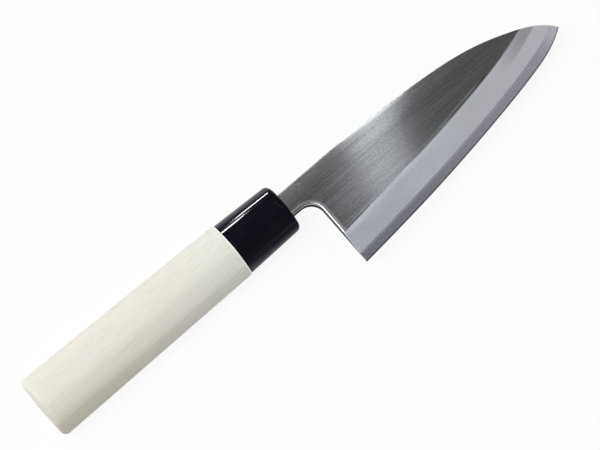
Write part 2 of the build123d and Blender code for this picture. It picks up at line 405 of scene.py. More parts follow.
def ground_bevel(blade):
    """Soft matt finish of the water stones on the iron part of the bevel."""
    s = Surface("ground_bevel")
    plain = blade.bevel_colour
    speckle = s.noise((1300, 1700, 1), 2.0)
    cloud = s.noise((40, 90, 1), 3.0, 0.5, (1.0, 5.0, 0.0))
    tone = s.plus(s.times(speckle, 0.5), s.times(cloud, 0.5))
    from_line, _ = s.bands()
    ground = s.mix(s.fade(tone, 0.35, 0.65), tinted(plain, 0.9), tinted(plain, 1.1))
    warmer = s.mix(s.along(40, 80, 0.0, 0.8), ground, tinted(plain, 1.03, 0.985, 0.99))
    # A painted highlight makes a lighter strip under the upper line, and a duller zone at the tip ends in a
    # faint line.
    strip = s.times(s.fade(from_line, -2.6, -0.9), s.along(42, 68, 0.2, 0.06))
    zone = s.times(s.along(97, 116), s.fade(from_line, -5.6, -3.9))
    faint_line = s.times(s.along(103, 109), s.window(from_line, -5.1, -4.8, -4.7, -4.4))
    # Painted shade: a dark line just below the upper line, from about 50 mm on.
    line_shade = s.times(s.along(46, 56, 0.0, 0.6), s.fade(from_line, -0.65, -0.25))
    return s.finish(
        Base_Color=s.shade(
            s.mix(zone, warmer, tinted(plain, 0.70, 0.645, 0.67)),
            s.gain(strip, 1.0),
            s.gain(faint_line, -0.2),
            s.gain(line_shade, -1.0),
            s.along(30, 105, 1.25, 1.07),
        ),
        Metallic=1.0,
        Roughness=s.spread(speckle, 0.5, 0.6),
        Normal=s.bump(speckle, 0.004 * MM, 0.6),
    )


def edge_finish(blade):
    """The hard layer along the edge, darker and tighter than the iron."""
    s = Surface("honed_edge")
    plain = blade.steel_colour
    speckle = s.noise((1500, 1900, 1), 2.0, 0.6, (9.0, 2.0, 0.0))
    _, from_edge = s.bands()
    return s.finish(
        Base_Color=s.shade(
            s.mix(s.fade(speckle, 0.35, 0.65), tinted(plain, 0.86), tinted(plain, 1.12)),
            # Painted shade: a thin dark line along the very edge.
            s.fade(from_edge, 0.3, 0.7, 0.35, 1.0),
            # Painted light along the blade: lighter near the heel and towards the tip.
            s.along(45, 75, 0.94, 1.03),
            s.along(111, 119, 1.0, 1.12),
            s.along(118.5, 123, 1.0, 1.2),
            s.along(20, 115, 1.23, 1.03),
        ),
        Metallic=1.0,
        Roughness=s.spread(speckle, 0.38, 0.46),
        Normal=s.bump(speckle, 0.003 * MM, 0.5),
    )


def dull_shaded_sides(blade):
    """Steel of the spine, the neck's sides and the notch: dull, and darkened partly by painted shade."""
    s = Surface("dull_shaded_sides")
    streaks = s.noise((300, 300, 2200), 3.0)
    return s.finish(
        Base_Color=s.mix(s.spread(streaks), tinted(blade.flat_colour, 0.13), tinted(blade.flat_colour, 0.22)),
        Metallic=1.0,
        Roughness=s.spread(streaks, 0.35, 0.45),
        Specular_Tint=(0.12, 0.12, 0.13),
        Normal=s.bump(streaks, 0.003 * MM, 0.4),
    )


def hollow_back(blade):
    """The back of the hard layer, ground across in the hollow."""
    s = Surface("hollow_back")
    streaks = s.noise((1700, 26, 1), 4.0, 0.6)
    return s.finish(
        Base_Color=s.mix(s.spread(streaks), blade.steel_colour, tinted(blade.steel_colour, 1.35)),
        Metallic=1.0,
        Roughness=s.spread(streaks, 0.26, 0.36),
        Normal=s.bump(streaks, 0.004 * MM, 0.5),
    )


def magnolia(handle):
    """Plain sanded magnolia: pale, with straight fine grain that drifts a little across the handle."""
    s = Surface("magnolia")
    plain = handle.wood_colour
    wander = s.noise((6, 60, 60), 2.0, 0.5, (2.0, 0.0, 0.0))
    drift = s.linear(s.x, -0.09, s.times(wander, 1.2 * MM))
    s.place = s.vector("ADD", s.place, s.combine(0.0, drift, drift))
    rings = s.noise((10, 1100, 700), 3.0, 0.65)
    fibres = s.noise((40, 1500, 1500), 2.0, 0.6, (0.0, 4.0, 0.0))
    patches = s.noise((22, 200, 200), 2.0, 0.5, (5.0, 0.0, 8.0))
    grain = s.linear(s.fade(rings, 0.5, 0.75), 0.42, s.times(s.fade(fibres, 0.45, 0.75), 0.4))
    # A little pinker in patches and fresher towards the ferrule; painted shade darkens the lower side towards
    # the butt.
    base = s.mix(s.spread(patches), plain, tinted(plain, 1.01, 0.98, 0.965))
    base = s.mix(s.along(-65, -30), base, tinted(plain, 1.01, 1.03, 1.035))
    lower_side_shade = s.times(s.along(-115, -40, 1.0, 0.0), s.across(-10.5, -6, 1.0, 0.0))
    grained = s.mix(lower_side_shade, s.mix(grain, base, handle.grain_colour), tinted(plain, 0.9, 0.86, 0.79))
    # Painted shade on the lower side and a painted highlight on the spine side.
    colour = s.shade(grained, s.times(s.across(-11.5, -6.5, 0.86, 1.0), s.across(6, 11, 1.0, 1.05)))
    # A painted highlight makes the wood's edge at the ferrule paler than the sides.
    front_edge_highlight = s.fade(s.x, FERRULE[0].x - 0.75 * MM, FERRULE[0].x - 0.4 * MM)
    return s.finish(
        Base_Color=s.mix(front_edge_highlight, colour, (0.95, 0.95, 0.93)),
        Roughness=s.spread(fibres, 0.55, 0.7),
        Specular_IOR_Level=0.35,
        Normal=s.bump(fibres, 0.02 * MM, 0.4),
    )


def black_plastic(handle):
    """Polished black plastic, with a painted bluish reflection along its two long edges."""
    s = Surface("black_plastic")
    haze = s.noise((150, 420, 420), 3.0, 0.5)
    upper = s.linear(s.x, 0.05, s.y)
    # Along the two long edges a bluish colour is a painted reflection, and the specular level is higher
    # there.
    edges = s.math("MAXIMUM", s.fade(upper, 7.6 * MM, 8.3 * MM), s.across(-10.8, -9, 0.65, 0.0))
    top_gloss = s.fade(upper, 7.4 * MM, 7.7 * MM, 0.15, 0.06)
    gloss = s.times(top_gloss, s.along(-2.5, -1.2, 1.0, 0.25), s.across(-8.6, -7.6, 0.3, 1.0))
    black = s.mix(s.spread(haze), handle.plastic_colour, tinted(handle.plastic_colour, 1.6))
    return s.finish(
        Base_Color=s.mix(edges, black, handle.edge_reflection_colour),
        Roughness=s.spread(haze, 0.03, 0.05),
        Specular_IOR_Level=s.linear(edges, 0.24, gloss),
        Normal=s.bump(haze, 0.001 * MM, 0.1),
    )


def seal_resin():
    """Cured black resin round the neck."""
    s = Surface("seal_resin")
    lumps = s.noise((500, 500, 500), 2.0)
    return s.finish(
        Base_Color=s.mix(lumps, (0.008, 0.008, 0.009), (0.016, 0.015, 0.015)),
        Roughness=s.spread(lumps, 0.3, 0.5),
        Normal=s.bump(lumps, 0.05 * MM, 0.4),
    )


def white_paper(studio):
    """Pale floor that shows as white and keeps a soft shadow."""
    s = Surface("white_paper")
    paths = s.add("ShaderNodeLightPath").outputs
    fibres = s.noise((900, 900, 900), 2.0)
    tone = s.mix(fibres, tinted(studio.floor_colour, 0.98), studio.floor_colour)
    matt = s.made("ShaderNodeBsdfDiffuse", {"Color": tone})
    white = s.made("ShaderNodeEmission", {"Color": (1.0, 1.0, 1.0, 1.0), "Strength": 1.0})
    mirrored = s.math("MAXIMUM", paths["Is Glossy Ray"], paths["Is Transmission Ray"])
    seen = s.math("MAXIMUM", paths["Is Camera Ray"], mirrored)
    mixed = s.made("ShaderNodeMixShader", {0: s.times(seen, PAPER_WHITE), 1: matt, 2: white})
    s.add("ShaderNodeOutputMaterial", {"Surface": mixed})
    return s.material


# ---------------------------------------------------------------------------------- blade form


def smooth_line(points, start=None, end=None, samples=60):
    """Points along the smooth curve through these points, with its direction at an end if given."""
    points = np.array(points, float)
    steps = np.linalg.norm(np.diff(points, axis=0), axis=1)
    count = len(points)
    system = np.zeros((count, count))
    wanted = np.zeros((count, 2))
    for i in range(1, count - 1):
        before, after = steps[i - 1], steps[i]
        system[i, i - 1:i + 2] = after, 2 * (before + after), before
        step_in, step_out = points[i] - points[i - 1], points[i + 1] - points[i]
        wanted[i] = 3 * (after / before * step_in + before / after * step_out)
    for row, near, step, way in [(0, 1, steps[0], start), (count - 1, count - 2, steps[-1], end)]:
        system[row, row] = 1.0
        if way is None:  # no bend at this end
            system[row, near] = 0.5
            wanted[row] = 1.5 * (points[max(row, near)] - points[min(row, near)]) / step
        else:
            wanted[row] = way
    slopes = np.linalg.solve(system, wanted)
    t = np.linspace(0, 1, samples, endpoint=False)[:, None]
    line = [
        (1 + 2 * t) * (1 - t) ** 2 * points[i] + t * (1 - t) ** 2 * steps[i] * slopes[i]
        + t * t * (3 - 2 * t) * points[i + 1] + t * t * (t - 1) * steps[i] * slopes[i + 1]
        for i in range(count - 1)
    ]
    return np.vstack([*line, points[-1:]])


def smooth_step(value, low, high):
    """0 below low, 1 above high, and a smooth rise between them."""
    t = np.clip((value - low) / (high - low), 0, 1)
    return t * t * (3 - 2 * t)


def corner_drop(distance, radius):
    """How far a rounded corner falls below its face at this distance from the face's edge."""
    inside = np.clip(radius - distance, 0, radius)
    return radius - np.sqrt(np.maximum(radius ** 2 - inside ** 2, 0))


CORNER_EASING = 0.25 * MM  # easing of the notch's corners where they aren't polished round
SMALLEST_EASING = 0.05  # share of the spine's easing that is left where the flat runs out
HOLLOW_ENTRY = 14 * MM  # length over which the hollow deepens, counted from its start
HOLLOW_FULL = 40 * MM  # distance from its start at which it begins to run out
NECK_START = -4 * MM  # the neck's mesh starts this far inside the ferrule
TIP_ZONE = 14 * MM  # length at the tip where the mesh is close
MESH_STEP = 1.25 * MM  # step of the mesh along the rest of the blade
BRUSHING_SCALE = 10  # the Brushing map runs 10 units to the metre
TINY = 1e-9  # slack of the comparisons along X
SMOOTH_BELOW = radians(30)  # edges of the blade that bend less are shaded smooth
MERGE = 0.0005 * MM  # points of the blade's mesh that are closer than this become one
# Numbers of the mesh rows that follow the weld, the bevel's upper line and the notch's corner.
WELD_ROW, LINE_ROW, NOTCH_ROW = 3, 11, 22
# Steps of the mesh in front of the heel, and inwards from the notch and the spine.
HEEL_STEPS = np.array([0.02, 0.06, 0.12, 0.2, 0.3, 0.42, 0.56, 0.75, 1.05, 1.5, 2.1, 3.0]) * MM
RIM_STEPS = np.array([0, 0.02, 0.06, 0.12, 0.2, 0.32, 0.5, 0.8, 1.3, 2.0, 3.0]) * MM


class BladeForm:
    """The blade's surfaces, as heights over its side view."""

    def __init__(self, blade):
        self.blade = blade
        self.back = STEEL[0].z
        self.tip_x = STEEL[1].x
        self.heel_x = blade.heel_x
        self.full = IRON[1].z - self.back
        self.run = self.tip_x - self.heel_x
        heel_y = STEEL[0].y
        top_y = STEEL[1].y
        rise = -blade.tip_drop - heel_y
        top_rise = rise + blade.tip_bevel_width - blade.bevel_width

        def at(share, y):
            return self.heel_x + share * self.run, y

        tip = (self.tip_x, -blade.tip_drop)
        spine = [at(share, top_y - drop * (top_y + blade.tip_drop)) for share, drop in SPINE_SHAPE]
        edge = [at(share, heel_y + part * rise) for share, part, _ in BEVEL_SHAPE]
        line = [at(share, heel_y + blade.bevel_width + part * top_rise) for share, _, part in BEVEL_SHAPE]
        fall = (cos(blade.tip_slope), -sin(blade.tip_slope))
        self.neck_top = blade.neck_height / 2 - blade.neck_drop
        self.neck_foot = self.neck_top - blade.neck_height
        falling = smooth_line([(blade.spine_run, top_y), *spine, tip], (1, 0), fall)
        self.spine = np.vstack([(0, self.neck_top), falling])
        self.edge = smooth_line([*edge, tip])
        self.line = smooth_line([*line, (self.tip_x, blade.tip_bevel_width - blade.tip_drop)])

    def spine_y(self, x):
        return np.interp(x, *self.spine.T)

    def edge_y(self, x):
        return np.interp(x, *self.edge.T)

    def line_y(self, x):
        """Upper line of the bevel."""
        return np.interp(x, *self.line.T)

    def share(self, x):
        """Share of the blade's length at x, counted from the heel."""
        return np.clip((x - self.heel_x) / self.run, 0, 1)

    def thickness(self, x):
        return self.full + (self.blade.tip_thickness - self.full) * self.share(x)

    def steel(self, x):
        """Thickness of the hard layer, which goes on growing into the neck."""
        blade = self.blade
        return blade.steel_at_heel + (blade.steel_at_tip - blade.steel_at_heel) * (x - self.heel_x) / self.run

    def weld_y(self, x):
        """Line on the bevel where the hard layer ends."""
        land = self.blade.edge_land
        share = (self.steel(x) - land) / (self.thickness(x) - land)
        return self.edge_y(x) + share * (self.line_y(x) - self.edge_y(x))

    def neck_y(self, x):
        """Underside of the neck, and the hollow corner down to the heel."""
        radius = self.blade.heel_radius
        across = np.clip(x - (self.heel_x - radius), 0, radius)
        return self.neck_foot - radius + np.sqrt(radius ** 2 - across ** 2)

    def notch_distance(self, x, y):
        """Distance from the edge of the notch behind the heel."""
        radius = self.blade.heel_radius
        centre_x = self.heel_x - radius
        centre_y = self.neck_foot - radius
        corner = np.hypot(x - centre_x, y - centre_y) - radius
        return np.where(y < centre_y, x - self.heel_x, np.where(x < centre_x, y - self.neck_foot, corner))

    def bevel_z(self, x, y):
        land = self.blade.edge_land
        share = (y - self.edge_y(x)) / (self.line_y(x) - self.edge_y(x))
        return self.back + land + share * (self.thickness(x) - land)

    def face_z(self, x, y):
        """The bevelled side: the flat, its roll to the spine, the bevel and the eased corners."""
        blade = self.blade
        from_spine = self.spine_y(x) - y
        room = np.clip((self.spine_y(x) - self.line_y(x)) / (2 * blade.shoulder_width), 0, 1)
        roll = np.clip(1 - from_spine / blade.shoulder_width, 0, 1) ** 2 * blade.shoulder_drop * room
        flat = self.back + self.thickness(x) - roll
        face = np.where(x < self.heel_x, flat, np.minimum(flat, self.bevel_z(x, y)))
        spine_corner = corner_drop(from_spine, blade.spine_easing * np.clip(room * 4, SMALLEST_EASING, 1))
        # The polish of the notch starts in its hollow corner and fades out on the bevel.
        heel_line = self.line_y(self.heel_x)
        corner_x = self.heel_x - blade.heel_radius
        into_corner = smooth_step(x, corner_x - 1 * MM, corner_x + 0.4 * blade.heel_radius)
        polish = into_corner * (1 - 0.7 * smooth_step(-y, -heel_line - 2 * MM, -heel_line + 1 * MM))
        notch_radius = CORNER_EASING + (blade.heel_easing - CORNER_EASING) * polish
        notch_corner = corner_drop(self.notch_distance(x, y), notch_radius)
        return face - np.maximum(spine_corner, notch_corner)

    def weld_z(self, x):
        return self.back + self.steel(x)

    def back_z(self, x, y):
        """The flat side with its hollow."""
        blade = self.blade
        start, end = self.heel_x + blade.heel_rim, self.tip_x - blade.tip_rim
        low, high = self.edge_y(x) + blade.hollow_rim, self.spine_y(x) - blade.hollow_rim
        across = np.clip((y - low) / np.maximum(high - low, 1 * MM), 0, 1)
        along = smooth_step(x, start, start + HOLLOW_ENTRY) * (1 - smooth_step(x, start + HOLLOW_FULL, end))
        return self.back + blade.hollow_depth * along * 4 * across * (1 - across)

    def crossing(self, curve):
        """X where this rising curve meets the falling spine."""
        x = np.linspace(self.heel_x, self.tip_x, 4000)
        gap = self.spine_y(x) - curve(x)
        i = int(np.argmax(gap <= 0))
        if gap[i] > 0:
            return self.tip_x
        share = gap[i - 1] / (gap[i - 1] - gap[i])
        return float(x[i - 1] + share * (x[i] - x[i - 1]))

    def stations(self, start):
        """Places along X, close together where the outline turns."""
        radius = self.blade.heel_radius
        turn = self.heel_x - radius + radius * np.sin(np.linspace(0, np.pi / 2, 25))
        body = np.arange(self.heel_x + 4 * MM, self.tip_x - TIP_ZONE, MESH_STEP)
        tip = self.tip_x - TIP_ZONE * np.linspace(1, 0, 41) ** 1.2
        special = [self.crossing(self.line_y), self.crossing(self.weld_y)]
        neck = np.linspace(start, self.heel_x - radius, 9)
        places = np.sort(np.concatenate([neck, turn, self.heel_x + HEEL_STEPS, body, tip, special]))
        return places[np.diff(places, prepend=-1) > 0.001 * MM]

    def rows(self, x):
        """Y of each row at x, from the edge to the spine."""
        edge, weld, line, spine = self.edge_y(x), self.weld_y(x), self.line_y(x), self.spine_y(x)
        notch_y = self.neck_foot - self.blade.heel_radius
        heel_line, heel_spine = self.line_y(self.heel_x), self.spine_y(self.heel_x)
        middle = line + (notch_y - heel_line) / (heel_spine - heel_line) * (spine - line)
        if x < self.heel_x:
            middle = self.neck_y(x)
        close = RIM_STEPS * min(1.0, max(0.0, spine - middle) / (3.5 * RIM_STEPS[-1]))
        upper = np.concatenate([
            middle + close,
            np.linspace(middle + close[-1], spine - close[-1], 10)[1:-1],
            spine - close[::-1],
        ])
        lower = np.concatenate([
            np.linspace(edge, weld, WELD_ROW + 1)[:-1],
            np.linspace(weld, line, LINE_ROW - WELD_ROW + 1)[:-1],
            np.linspace(line, middle, NOTCH_ROW - LINE_ROW + 1)[:-1],
        ])
        return np.minimum(np.concatenate([lower, upper]), spine)


def blade_mesh(name, form, start, end, first_row, top, bottom, finishes):
    """A closed mesh between two height surfaces. Behind the heel it has only the rows of the neck.

    finishes(side, x, row) gives the material number of a face on "top", "bottom" or "wall".
    """
    xs = [x for x in form.stations(start) if start - TINY <= x <= end + TINY]
    ys = [form.rows(x) for x in xs]
    points, faces, numbers = [], [], []
    index = {}
    for i, x in enumerate(xs):
        for j, y in enumerate(ys[i]):
            index[i, j] = len(points)
            points.append((x, y, float(top(x, y))))
            points.append((x, y, float(bottom(x, y))))
    border = {}
    for i in range(len(xs) - 1):
        low = first_row if xs[i] >= form.heel_x - TINY else max(first_row, NOTCH_ROW)
        for j in range(low, len(ys[i]) - 1):
            loop = [index[i, j], index[i + 1, j], index[i + 1, j + 1], index[i, j + 1]]
            faces.append(loop)
            numbers.append(finishes("top", xs[i], j))
            faces.append([v + 1 for v in reversed(loop)])
            numbers.append(finishes("bottom", xs[i], j))
            for a, b in zip(loop, loop[1:] + loop[:1]):
                if (b, a) in border:
                    del border[b, a]
                else:
                    border[a, b] = (xs[i], j)
    for (a, b), (x, j) in border.items():
        faces.append([b, a, a + 1, b + 1])
        numbers.append(finishes("wall", x, j))
    mesh = bpy.data.meshes.new(name)
    mesh.from_pydata(points, [], faces)
    mesh.polygons.foreach_set("material_index", numbers)
    bm = bmesh.new()
    bm.from_mesh(mesh)
    bmesh.ops.remove_doubles(bm, verts=bm.verts, dist=MERGE)
    bmesh.ops.dissolve_degenerate(bm, edges=bm.edges, dist=MERGE)
    loose = [v for v in bm.verts if not v.link_faces]
    bmesh.ops.delete(bm, geom=loose, context="VERTS")
    brushing = bm.loops.layers.uv.new("Brushing")
    bands = bm.loops.layers.uv.new("Bands")
    rims = bm.loops.layers.uv.new("Rims")
    for vert in bm.verts:
        x, y, _ = vert.co
        band = ((y - form.line_y(x)) / MM, (y - form.edge_y(x)) / MM)
        rim = ((form.spine_y(x) - y) / MM, float(form.notch_distance(x, y)) / MM)
        for corner in vert.link_loops:
            corner[brushing].uv = (x * BRUSHING_SCALE, y * BRUSHING_SCALE)
            corner[bands].uv = band
            corner[rims].uv = rim
    for face in bm.faces:
        face.smooth = True
    for edge in bm.edges:
        kinds = {f.material_index for f in edge.link_faces}
        edge.smooth = len(kinds) == 1 and edge.calc_face_angle(0) < SMOOTH_BELOW
    bm.to_mesh(mesh)
    bm.free()
    return mesh


def add_piece(name, mesh, materials, slot, *nodes):
    """Puts a finished mesh into the frame in place of CAD nodes."""
    mesh.name = name
    for material in materials:
        if material.name not in mesh.materials:
            mesh.materials.append(material)
    piece = bpy.data.objects.new(name, mesh)
    bpy.context.scene.collection.objects.link(piece)
    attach(piece, "root")
    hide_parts(*nodes)


class AddBladeIron(bpy.types.Operator):
    """Adds the soft-iron body of the blade with its neck"""

    bl_idname = "deba.add_blade_iron"
    bl_label = "Add Blade Iron"

    def execute(self, context):
        blade = context.scene.deba_blade
        form = BladeForm(blade)

        def bottom(x, y):
            return form.weld_z(x) if x > STEEL[0].x + 0.01 * MM else form.back

        def top(x, y):
            return max(form.face_z(x, y), bottom(x, y))

        def finishes(side, x, row):
            if side == "wall":
                return 2
            if side == "bottom":
                return 3
            return 1 if x >= form.heel_x - TINY and row < LINE_ROW else 0

        end = form.crossing(form.weld_y)
        mesh = blade_mesh("iron_body", form, NECK_START, end, WELD_ROW, top, bottom, finishes)
        materials = [brushed_flat(blade), ground_bevel(blade), dull_shaded_sides(blade), hollow_back(blade)]
        add_piece("iron_body", mesh, materials, "soft_iron", "blade_iron")
        return {"FINISHED"}


class AddEdgeSteel(bpy.types.Operator):
    """Adds the hard-steel layer, with the cutting edge and the hollow back"""

    bl_idname = "deba.add_edge_steel"
    bl_label = "Add Edge Steel"

    def execute(self, context):
        blade = context.scene.deba_blade
        form = BladeForm(blade)

        def top(x, y):
            below = x >= form.heel_x - TINY and y < form.weld_y(x)
            bevel = form.face_z(x, y) if below else 1.0
            return min(bevel, form.weld_z(x))

        def finishes(side, x, row):
            return {"top": 0, "bottom": 1, "wall": 2}[side]

        mesh = blade_mesh("hard_layer", form, STEEL[0].x, form.tip_x, 0, top, form.back_z, finishes)
        materials = [edge_finish(blade), hollow_back(blade), dull_shaded_sides(blade)]
        add_piece("hard_layer", mesh, materials, "hard_steel", "edge_steel")
        return {"FINISHED"}


# ---------------------------------------------------------------------------------- D grip


ARC_POINTS = 26  # points on each of the outline's five curves
ROUNDING_POINTS = 9  # points on each rounded end
CRISP_ANGLE = radians(11)  # edges of the grip that bend more stay crisp
# Inputs of the grip that the handle and the ferrule share, named as in the handle's settings, and
# those that each has for itself.
OUTLINE_INPUTS = ["Crown Line", "Palm Line", "Spine Line", "Ridge Across", "Ridge Up", "Foot Line",
                  "Shoulder Slope", "Flat Slope"]
GRIP_INPUTS = ["Rear X", "Front X", "Rear Height", "Rear Thickness", "Front Height", "Front Thickness",
               "Rear Rounding", "Front Rounding", "Crown", "Slot Height", "Slot Thickness",
               "Slot Depth", "Slot Y"]


def d_outline(g, given):
    """The D outline as one closed curve, drawn with a half height and half thickness of 1."""
    real_size = g.combine(g.times(given["Rear Height"], 0.5), g.times(given["Rear Thickness"], 0.5))

    def quarter(centre_x, centre_y, radius_x, radius_y, start):
        turn = {"Resolution": ARC_POINTS, "Radius": 1.0,
                "Start Angle": radians(start), "Sweep Angle": radians(90)}
        placed = {"Geometry": g.made("GeometryNodeCurveArc", turn),
                  "Translation": g.combine(centre_x, centre_y),
                  "Scale": g.combine(radius_x, radius_y, 1.0)}
        return g.made("GeometryNodeTransform", placed)

    def sweep(start, start_way, end, end_way):
        """A curve between two points that leaves and arrives along these real directions."""
        real_gap = g.vector("MULTIPLY", g.vector("SUBTRACT", end, start), real_size)
        span = g.add("ShaderNodeVectorMath", {0: real_gap}, operation="LENGTH").outputs["Value"]
        third = g.math("DIVIDE", span, 3.0)

        def handle(way, sign):
            reach = g.scaled(way, g.times(third, sign))
            return g.vector("DIVIDE", reach, g.vector("ADD", real_size, (0.0, 0.0, 1.0)))

        sockets = {"Resolution": ARC_POINTS, "Start": start, "End": end,
                   "Start Handle": g.vector("ADD", start, handle(start_way, 1.0)),
                   "End Handle": g.vector("ADD", end, handle(end_way, -1.0))}
        return g.made("GeometryNodeCurvePrimitiveBezierSegment", sockets, mode="POSITION")

    def falling(slope):
        return g.combine(g.times(g.math("COSINE", slope), -1.0), g.times(g.math("SINE", slope), -1.0))

    crown_y, palm_y = given["Crown Line"], given["Palm Line"]
    spine_z, foot_z = given["Spine Line"], given["Foot Line"]
    crown = g.combine(crown_y, 1.0)
    ridge = g.combine(given["Ridge Across"], given["Ridge Up"])
    foot = g.combine(-1.0, foot_z)
    parts = [
        quarter(crown_y, spine_z, g.minus(1.0, crown_y), g.minus(1.0, spine_z), 0),
        sweep(crown, (-1.0, 0.0, 0.0), ridge, falling(given["Shoulder Slope"])),
        sweep(ridge, falling(given["Flat Slope"]), foot, (0.0, -1.0, 0.0)),
        quarter(palm_y, foot_z, g.plus(1.0, palm_y), g.plus(1.0, foot_z), 180),
        quarter(palm_y, spine_z, g.minus(1.0, palm_y), g.plus(1.0, spine_z), 270),
    ]
    joined = g.add("GeometryNodeJoinGeometry")
    for part in parts:
        g.give(joined.inputs[0], part)
    wire = g.made("GeometryNodeCurveToMesh", {"Curve": joined.outputs[0]})
    closed = g.made("GeometryNodeMergeByDistance", {"Geometry": wire, "Distance": 0.0005})
    return g.made("GeometryNodeMeshToCurve", {"Mesh": closed})


def end_profile(g, given):
    """Profile from the middle of the rear face, out along the grip and back to the middle of the front."""
    rear_half = g.times(given["Rear Thickness"], 0.5)
    front_half = g.times(given["Front Thickness"], 0.5)
    rear_x, front_x = g.plus(given["Rear X"], given["Crown"]), given["Front X"]
    taper = g.math("DIVIDE", g.minus(front_half, rear_half), g.minus(front_x, rear_x))

    def on_side(x):
        return g.combine(x, g.linear(g.minus(x, rear_x), taper, rear_half))

    # Each rounding has a point close by, so that the shading of the long side stays straight.
    corners = [
        (g.combine(rear_x, 0.0), 0.0),
        (on_side(rear_x), given["Rear Rounding"]),
        (on_side(g.linear(given["Rear Rounding"], 1.2, rear_x)), 0.0),
        (on_side(g.linear(given["Front Rounding"], -1.2, front_x)), 0.0),
        (on_side(front_x), given["Front Rounding"]),
        (g.combine(front_x, 0.0), 0.0),
    ]
    line = g.made("GeometryNodeCurvePrimitiveLine")
    line = g.made("GeometryNodeResampleCurve", {"Curve": line, "Count": len(corners)})
    index = g.made("GeometryNodeInputIndex")

    def pick(kind, values):
        choice = g.add("GeometryNodeIndexSwitch", data_type=kind)
        while len(choice.index_switch_items) < len(values):
            choice.index_switch_items.new()
        g.give(choice.inputs["Index"], index)
        for socket, value in zip(choice.inputs[1:], values):
            g.give(socket, value)
        return choice.outputs[0]

    places, radii = zip(*corners)
    line = g.made("GeometryNodeSetPosition", {"Geometry": line, "Position": pick("VECTOR", places)})
    filleted = {"Curve": line, "Radius": pick("FLOAT", radii), "Count": ROUNDING_POINTS, "Limit Radius": True}
    return g.made("GeometryNodeFilletCurve", filleted, mode="POLY")


def point_count(g, curve):
    return g.add("GeometryNodeAttributeDomainSize", {0: curve}, component="CURVE").outputs["Point Count"]


def point_of(g, curve, index):
    sockets = {"Geometry": curve, "Value": g.made("GeometryNodeInputPosition"), "Index": index}
    return g.made("GeometryNodeSampleIndex", sockets, data_type="FLOAT_VECTOR", domain="POINT")


def above(g, value, limit):
    return g.made("FunctionNodeCompare", {0: value, 1: limit}, data_type="FLOAT", operation="GREATER_THAN")


def grip_loft(g, given):
    """The closed skin of the grip: rings of the outline, placed and shrunk as the profile says."""
    outline = d_outline(g, given)
    profile = end_profile(g, given)
    sides = point_count(g, outline)
    rows = g.plus(sides, 1.0)
    grid = g.made("GeometryNodeMeshGrid", {"Vertices X": point_count(g, profile), "Vertices Y": rows})
    index = g.made("GeometryNodeInputIndex")
    ring = g.math("FLOOR", g.math("DIVIDE", g.plus(index, 0.5), rows))
    side = g.math("MODULO", g.minus(index, g.times(ring, rows)), sides)
    x, reach, _ = g.split(point_of(g, profile, ring))
    across, up, _ = g.split(point_of(g, outline, side))

    def half_size(rear, front):
        sockets = {"Value": x, "From Min": given["Rear X"], "From Max": given["Front X"],
                   "To Min": given[rear], "To Max": given[front]}
        return g.times(g.made("ShaderNodeMapRange", sockets, clamp=False), 0.5)

    half_height = half_size("Rear Height", "Front Height")
    half_thickness = half_size("Rear Thickness", "Front Thickness")
    rounding = g.math("MAXIMUM", given["Rear Rounding"], given["Front Rounding"])
    inset = g.math("MINIMUM", rounding, g.minus(half_thickness, reach))
    shrink = g.math("MINIMUM", 1.0, g.math("DIVIDE", reach, g.minus(half_thickness, rounding)))
    y = g.times(across, shrink, g.minus(half_height, inset))
    z = g.times(up, shrink, g.minus(half_thickness, inset))
    middle = g.times(g.plus(given["Rear X"], given["Front X"]), 0.5)
    behind = g.math("LESS_THAN", x, middle)
    level = g.math("DIVIDE", reach, half_thickness)
    dome = g.times(given["Crown"], g.minus(1.0, g.times(level, level)))
    place = g.combine(g.minus(x, g.times(dome, behind)), y, z)
    loft = g.made("GeometryNodeSetPosition", {"Geometry": grid, "Position": place})
    return g.made("GeometryNodeMergeByDistance", {"Geometry": loft, "Distance": 0.001 * MM})


def grip_tree():
    """A tapered grip with the D outline, rounded at both ends, domed behind and slotted in front."""
    tree = bpy.data.node_groups.new("D Grip", "GeometryNodeTree")

    def socket(name, kind, way="INPUT"):
        tree.interface.new_socket(name, in_out=way, socket_type="NodeSocket" + kind)

    for name in GRIP_INPUTS + OUTLINE_INPUTS:
        socket(name, "Float")
    socket("Finish", "Material")
    socket("Geometry", "Geometry", "OUTPUT")
    g = NodeMaker(tree)
    given = g.add("NodeGroupInput").outputs
    loft = grip_loft(g, given)

    cutter_size = g.combine(g.times(given["Slot Depth"], 2.0), given["Slot Height"], given["Slot Thickness"])
    cutter = g.made("GeometryNodeMeshCube", {"Size": cutter_size})
    slot_place = g.combine(given["Front X"], given["Slot Y"])
    cutter = g.made("GeometryNodeTransform", {"Geometry": cutter, "Translation": slot_place})
    slotted = g.made("GeometryNodeMeshBoolean", {"Mesh 1": loft, "Mesh 2": cutter},
                     operation="DIFFERENCE", solver="EXACT")
    chosen = {"Switch": above(g, given["Slot Depth"], 0.0), "False": loft, "True": slotted}
    body = g.made("GeometryNodeSwitch", chosen, input_type="GEOMETRY")
    body = g.made("GeometryNodeSetShadeSmooth", {"Geometry": body, "Shade Smooth": True}, domain="FACE")
    bend = g.add("GeometryNodeInputMeshEdgeAngle").outputs["Unsigned Angle"]
    crisp = {"Geometry": body, "Selection": above(g, bend, CRISP_ANGLE), "Shade Smooth": False}
    body = g.made("GeometryNodeSetShadeSmooth", crisp, domain="EDGE")
    body = g.made("GeometryNodeRealizeInstances", {"Geometry": body})
    body = g.made("GeometryNodeSetMaterial", {"Geometry": body, "Material": given["Finish"]})
    g.add("NodeGroupOutput", {"Geometry": body})
    return tree


